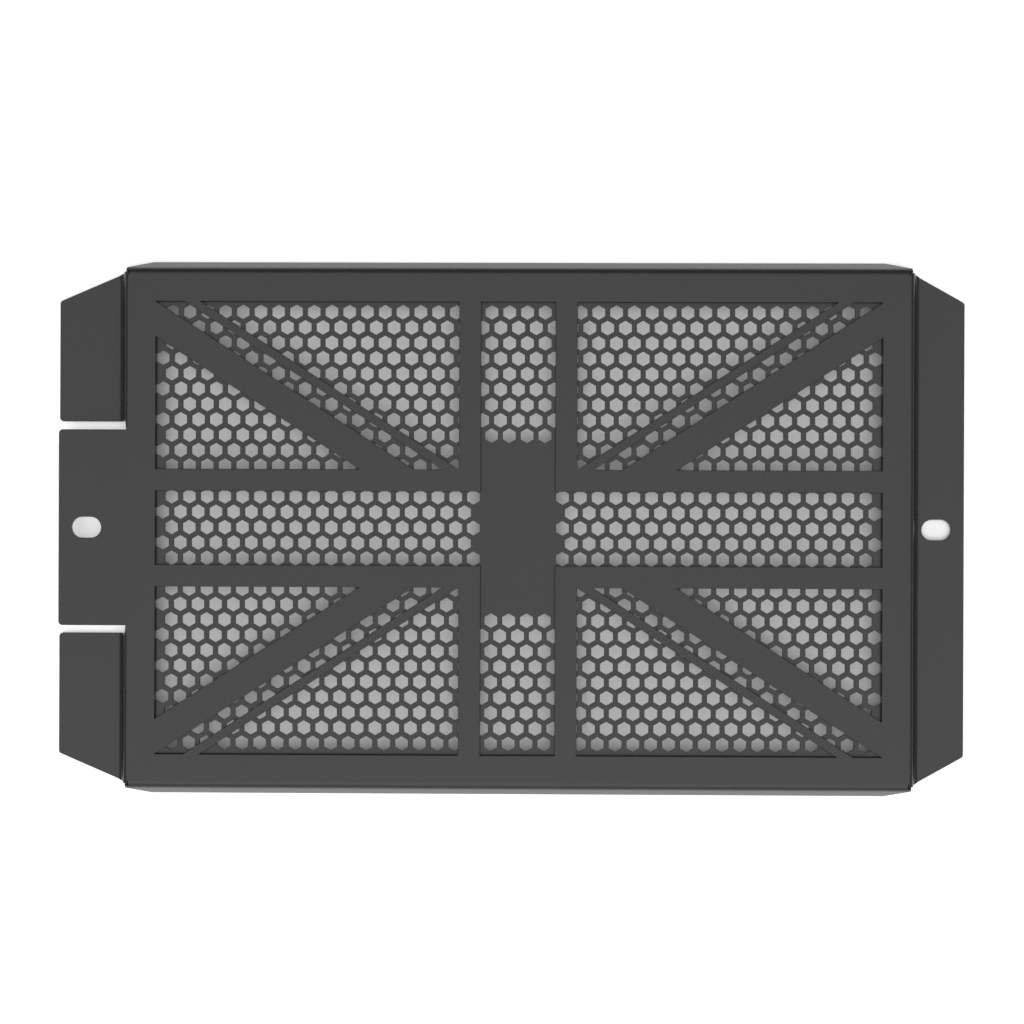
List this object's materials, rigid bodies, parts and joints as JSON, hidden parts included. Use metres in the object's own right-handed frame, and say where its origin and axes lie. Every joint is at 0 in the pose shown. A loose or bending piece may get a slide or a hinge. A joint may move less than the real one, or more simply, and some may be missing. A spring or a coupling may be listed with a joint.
{
  "type": "motorcycle radiator guard",
  "caption": "Flat folded sheet-metal radiator guard: a frame cut with a cross-and-saltire field of windows over a hexagonal mesh sheet, with flared lips, joggled side flanges and bolt slots.",
  "frame": {"origin": "middle of the underside of the bounding box: the guard lies on its back, face up, and the backs of its flange and side tabs are at z = 0", "axes": "+X across the guard towards the side with the single tall flange, +Y up the guard's height, +Z out of the face"},
  "size_m": [0.3074, 0.181, 0.0075],
  "materials": {
    "frame_powder_coat": "satin black powder coat on folded steel sheet",
    "mesh_powder_coat": "satin black powder coat on punched steel sheet"
  },
  "bodies": {
    "root": {"guard_frame": "frame_powder_coat", "hex_mesh": "mesh_powder_coat"}
  },
  "joints": []
}
